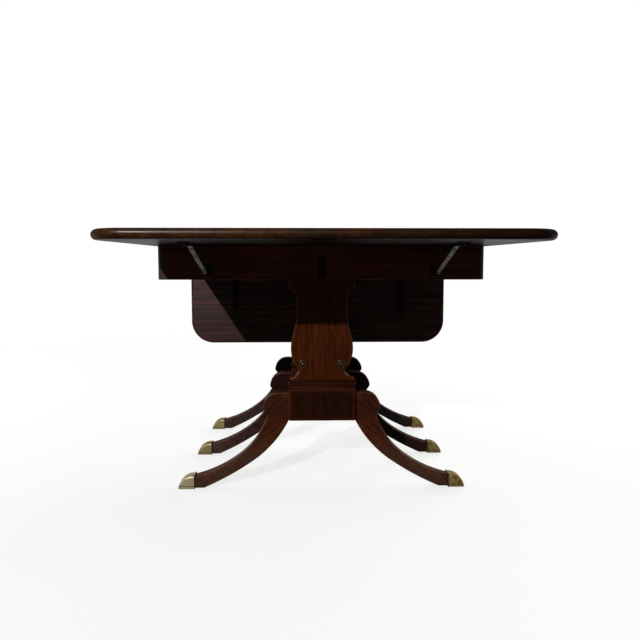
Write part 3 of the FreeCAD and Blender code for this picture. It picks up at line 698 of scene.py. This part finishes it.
def screwHead(name, radius):
    profile = [(radius - inset, height) for inset, height in screwLook["dome"]]
    head = turnDisc(name, profile, screwLook["rounds"])
    bpy.ops.object.select_all(action="DESELECT")
    bpy.ops.mesh.primitive_cube_add(size=1, location=(0, 0, profile[-1][1] * mm))
    cutter = bpy.context.object
    editAll()
    slotLength = 3 * radius        # well past the rim
    slotWidth, slotDepth = screwLook["slot"]
    bpy.ops.transform.resize(value=(slotLength * mm, slotWidth * mm, slotDepth * mm),
                             center_override=(0, 0, 0))
    bpy.ops.object.mode_set(mode="OBJECT")
    carve(head, cutter)
    head.data.materials.clear()
    head.data.materials.append(finish["screwSteel"])
    return head


bigScrew, smallScrew = screwHead("bigScrew", screwLook["big"]), screwHead("smallScrew", screwLook["small"])
plateUnder = boxOf("near_hinge_plates")[0].z
catchLow, catchHigh = boxOf("near_stay_catches")
for end, out in ends.items():
    turn = screwLook["firstTurn"]
    onApron, onHalf, onLeaf = [], [], []
    low, high = boxOf(end + "_apron")
    apronFace = max(abs(low.y), abs(high.y))
    stayX, _, stayZ = (c / mm for c in joints[end + "_stay_right_swing"]["pos_m"])
    for x in (-apronScrews["side"], apronScrews["side"]):
        for z in (low.z + apronScrews["fromBottom"], high.z - apronScrews["fromTop"]):
            turn += apronScrews["turn"]
            onApron.append(((x, out * apronFace, z), (0, out, 0), turn))
    for x in hingePlaces:
        for side in (-topScrews["beside"], topScrews["beside"]):
            turn += topScrews["turn"]
            onHalf.append(((x + side, out * topScrews["y"], plateUnder), (0, 0, -1), turn))
        for side, y in leafScrews["places"]:
            turn += leafScrews["turn"]
            onLeaf.append(((x + side, y, plateUnder), turn))
    for side in (-1, 1):
        for away in catchScrews["fromTip"]:
            turn += catchScrews["turn"]
            onLeaf.append(((side * stayX, -catchLow.y - away, catchHigh.z - catchScrews["plate"]), turn))
        for away, rise in bracketScrews["places"]:
            turn += bracketScrews["turn"]
            y = out * (apronFace + bracketScrews["plate"])
            onHalf.append(((side * (stayX + away), y, stayZ + rise), (0, out, 0), turn))
    # the far leaf hangs: what was outwards points down, what was under faces in
    _, pinY, pinZ = (c / mm for c in joints[end + "_leaf_swing"]["pos_m"])
    if end == "far":
        leafPlaces = [((x, pinY + z - pinZ, pinZ + pinY - y), (0, -1, 0), spin) for (x, y, z), spin in onLeaf]
    else:
        leafPlaces = [((x, -y, z), (0, 0, -1), spin) for (x, y, z), spin in onLeaf]
    seat(copiesAt(smallScrew, end + "_leaf_screws", leafPlaces), end + "_leaf", "hinge_iron")
    seat(copiesAt(smallScrew, end + "_plate_screws", onHalf), end + "_half", "hinge_iron")
    seat(copiesAt(bigScrew, end + "_apron_screws", onApron), end + "_half", "hinge_iron")
bpy.data.objects.remove(bigScrew)
bpy.data.objects.remove(smallScrew)
print("screws done")

# Turned rosettes on the outer faces of the two end pedestals
rosetteLook = {"profile": [(12.5, 0), (12.5, 1.8), (12.0, 3.0), (10.9, 3.7), (9.8, 3.6), (9.0, 2.6),
                           (8.2, 1.7), (6.4, 1.5), (5.2, 1.9), (4.7, 3.0), (3.6, 3.8), (1.8, 4.0)],
               "rounds": 48, "groove": (5.3, 8.4)}
rosette = turnDisc("rosette", rosetteLook["profile"], rosetteLook["rounds"])
rosette.data.materials.append(finish["rosetteMahogany"])
rosette.data.materials.append(finish["plinthVeneer"])
grooveInner, grooveOuter = rosetteLook["groove"]
for face in rosette.data.polygons:        # painted shade: the groove is dark
    away = Vector(face.center[:2]).length / mm
    face.material_index = int(grooveInner < away < grooveOuter)
rosetteRadius = rosetteLook["profile"][0][0]
for end, out in ends.items():
    low, high = boxOf(end + "_rosettes")
    back = high.y if out < 0 else low.y
    pair = copiesAt(rosette, end + "_rosettes_turned", [
        ((x, back, high.z - rosetteRadius), (0, out, 0), 0)
        for x in (low.x + rosetteRadius, high.x - rosetteRadius)])
    seat(pair, end + "_half", "rosette_wood", end + "_rosettes")
bpy.data.objects.remove(rosette)
print("rosettes done")

# Pale floor: the camera sees it white, with a light shadow that fades into the backdrop; polish and
# metal see a dimmer one, dark in front and paler behind the table
floorLook = {"size": 40.0, "drop": 0.0005, "shadowShare": 0.28, "fade": (0.8, 3.2), "tone": "#f3f2f0",
             "bounce": "#6e6c6a", "white": 1.0, "mirror": (-0.4, 0.5, 0.02, 0.32)}
plainWhite = (1, 1, 1, 1)


def rayKinds(tree):
    # 1 for what the camera sees, and 1 for what is seen in polish and metal
    path = addNode(tree, "ShaderNodeLightPath")
    mirrored = addNode(tree, "ShaderNodeMath", {"operation": "MAXIMUM"},
                       links={0: path.outputs["Is Glossy Ray"], 1: path.outputs["Is Transmission Ray"]})
    return path.outputs["Is Camera Ray"], mirrored.outputs[0]


bpy.ops.object.select_all(action="DESELECT")
bpy.ops.mesh.primitive_plane_add(size=floorLook["size"], location=(0, 0, -floorLook["drop"]))
floor = bpy.context.object
floor.name = "floor"
paper = bpy.data.materials.new("paleFloor")
paper.use_nodes = True
tree = paper.node_tree
tree.nodes.clear()
seen, mirrored = rayKinds(tree)
place = addNode(tree, "ShaderNodeTexCoord").outputs["Object"]
away = addNode(tree, "ShaderNodeVectorMath", {"operation": "LENGTH"}, links={0: place})
low, high = floorLook["fade"]
share = addNode(tree, "ShaderNodeMapRange", inputs={
    "From Min": low, "From Max": high, "To Min": floorLook["shadowShare"], "To Max": 0.0},
    links={"Value": away.outputs["Value"]})
white = addNode(tree, "ShaderNodeEmission", inputs={"Color": plainWhite, "Strength": floorLook["white"]})
matt = addNode(tree, "ShaderNodeBsdfDiffuse", inputs={"Color": toLinear(floorLook["tone"])})
pale = addNode(tree, "ShaderNodeMixShader", links={
    0: share.outputs[0], 1: white.outputs[0], 2: matt.outputs[0]})
dull = addNode(tree, "ShaderNodeBsdfDiffuse", inputs={"Color": toLinear(floorLook["bounce"])})
split = addNode(tree, "ShaderNodeSeparateXYZ", links={0: place})
low, high, dim, bright = floorLook["mirror"]
glow = addNode(tree, "ShaderNodeMapRange", smoothStep, {
    "From Min": low, "From Max": high, "To Min": dim, "To Max": bright}, {"Value": split.outputs["Y"]})
shine = addNode(tree, "ShaderNodeEmission", inputs={"Color": plainWhite}, links={"Strength": glow.outputs[0]})
unseen = addNode(tree, "ShaderNodeMixShader", links={0: mirrored, 1: dull.outputs[0], 2: shine.outputs[0]})
whole = addNode(tree, "ShaderNodeMixShader", links={0: seen, 1: unseen.outputs[0], 2: pale.outputs[0]})
addNode(tree, "ShaderNodeOutputMaterial", links={"Surface": whole.outputs[0]})
floor.data.materials.append(paper)

# Studio: the camera sees white all round, polish and metal see a dim room that is a little paler behind
# the table, and a small bright key stands at the front left
studio = {"white": 1.0, "ambient": 0.1, "room": (-0.3, 0.55, 0.03, 0.08), "key": 610, "keyRadius": 0.045,
          "keyPlace": (-1.821, -4.0, 2.683), "aim": (0, 0, 0.5)}
world = bpy.data.worlds.new("studio")
world.use_nodes = True
bpy.context.scene.world = world
tree = world.node_tree
tree.nodes.clear()
seen, mirrored = rayKinds(tree)
place = addNode(tree, "ShaderNodeTexCoord").outputs["Generated"]
split = addNode(tree, "ShaderNodeSeparateXYZ", links={0: place})
low, high, dim, bright = studio["room"]
room = addNode(tree, "ShaderNodeMapRange", smoothStep, {
    "From Min": low, "From Max": high, "To Min": dim, "To Max": bright}, {"Value": split.outputs["Y"]})
unseen = addNode(tree, "ShaderNodeMix", {"data_type": "FLOAT"}, {2: studio["ambient"]},
                 {0: mirrored, 3: room.outputs["Result"]})
level = addNode(tree, "ShaderNodeMix", {"data_type": "FLOAT"}, {3: studio["white"]},
                {0: seen, 2: unseen.outputs[0]})
air = addNode(tree, "ShaderNodeBackground", inputs={"Color": plainWhite},
              links={"Strength": level.outputs[0]})
addNode(tree, "ShaderNodeOutputWorld", links={"Surface": air.outputs[0]})

keyData = bpy.data.lights.new("key", "POINT")
keyData.energy = studio["key"]
keyData.shadow_soft_size = studio["keyRadius"]
key = bpy.data.objects.new("key", keyData)
key.location = studio["keyPlace"]
bpy.context.scene.collection.objects.link(key)

softBoxes = {
    "backSoft": {"place": (1.6, 3.2, 1.9), "size": (2.4, 1.8), "power": 120},
    "rightSoft": {"place": (3.4, 0.8, 1.3), "size": (1.8, 1.6), "power": 75},
    "leftSoft": {"place": (-3.4, 0.8, 1.3), "size": (1.8, 1.6), "power": 65},
}
for name, look in softBoxes.items():
    data = bpy.data.lights.new(name, "AREA")
    data.shape = "RECTANGLE"
    data.size, data.size_y = look["size"]
    data.energy = look["power"]
    lamp = bpy.data.objects.new(name, data)
    lamp.location = look["place"]
    lamp.visible_glossy = False        # the polish reflects the room, not the lamps
    towards = Vector(studio["aim"]) - Vector(look["place"])
    lamp.rotation_euler = towards.to_track_quat("-Z", "Y").to_euler()
    bpy.context.scene.collection.objects.link(lamp)
bpy.context.scene.view_settings.view_transform = "Standard"
print("studio lit")
